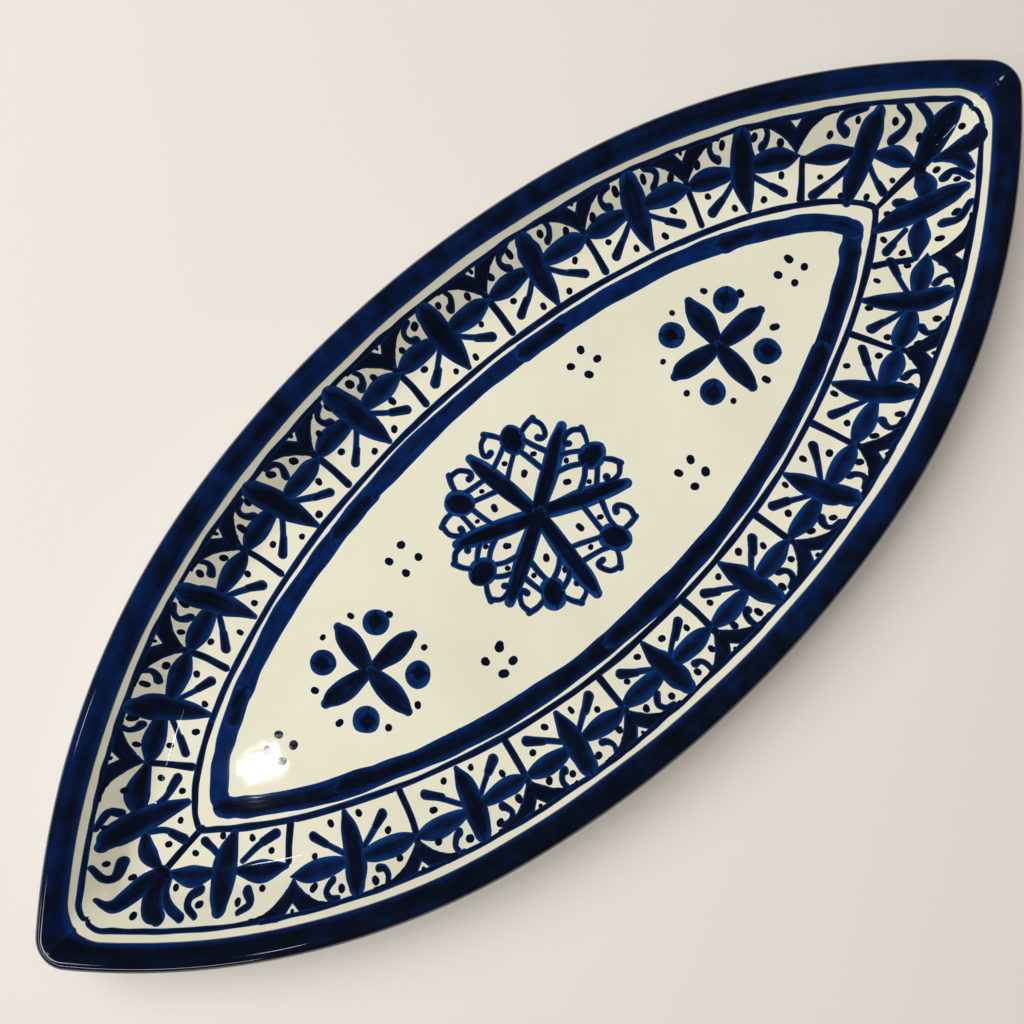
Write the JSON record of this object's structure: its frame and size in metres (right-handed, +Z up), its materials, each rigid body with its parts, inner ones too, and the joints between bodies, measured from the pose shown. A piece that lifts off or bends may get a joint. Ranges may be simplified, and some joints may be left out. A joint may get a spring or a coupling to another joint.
{
  "type": "hand painted ceramic plate",
  "caption": "Long pointed oval serving plate on a foot ring, white glazed, with a cobalt rim band, painted leaf border, medallion and rosettes.",
  "frame": {"origin": "centre of the plate on the plane of the foot ring's resting face", "axes": "+X along the plate to one tip, +Y across it to the far side, +Z up out of the dish"},
  "size_m": [0.4008, 0.168, 0.026],
  "materials": {
    "bare_clay": "unglazed",
    "white_glaze": "gloss",
    "cobalt_band": "gloss",
    "cobalt_painting": "gloss"
  },
  "bodies": {
    "root": {"clay_body": "bare_clay", "foot_ring": "bare_clay", "glaze_inside": "white_glaze", "glaze_outside": "white_glaze", "glaze_under_floor": "white_glaze", "rim_band": "cobalt_band", "field_band": "cobalt_band", "outer_line": "cobalt_painting", "inner_line": "cobalt_painting", "border_far_1": "cobalt_painting", "border_far_2": "cobalt_painting", "border_far_3": "cobalt_painting", "border_far_4": "cobalt_painting", "border_far_5": "cobalt_painting", "border_far_6": "cobalt_painting", "border_far_7": "cobalt_painting", "border_far_8": "cobalt_painting", "border_far_9": "cobalt_painting", "border_far_10": "cobalt_painting", "border_near_1": "cobalt_painting", "border_near_2": "cobalt_painting", "border_near_3": "cobalt_painting", "border_near_4": "cobalt_painting", "border_near_5": "cobalt_painting", "border_near_6": "cobalt_painting", "border_near_7": "cobalt_painting", "border_near_8": "cobalt_painting", "border_near_9": "cobalt_painting", "border_near_10": "cobalt_painting", "tip_motif_left": "cobalt_painting", "tip_motif_right": "cobalt_painting", "medallion_spokes": "cobalt_painting", "medallion_buds": "cobalt_painting", "medallion_tracery": "cobalt_painting", "medallion_dots": "cobalt_painting", "rosette_left": "cobalt_painting", "rosette_right": "cobalt_painting", "dot_cluster_1": "cobalt_painting", "dot_cluster_2": "cobalt_painting", "dot_cluster_3": "cobalt_painting", "dot_cluster_4": "cobalt_painting", "dot_cluster_5": "cobalt_painting", "dot_cluster_6": "cobalt_painting"}
  },
  "joints": []
}
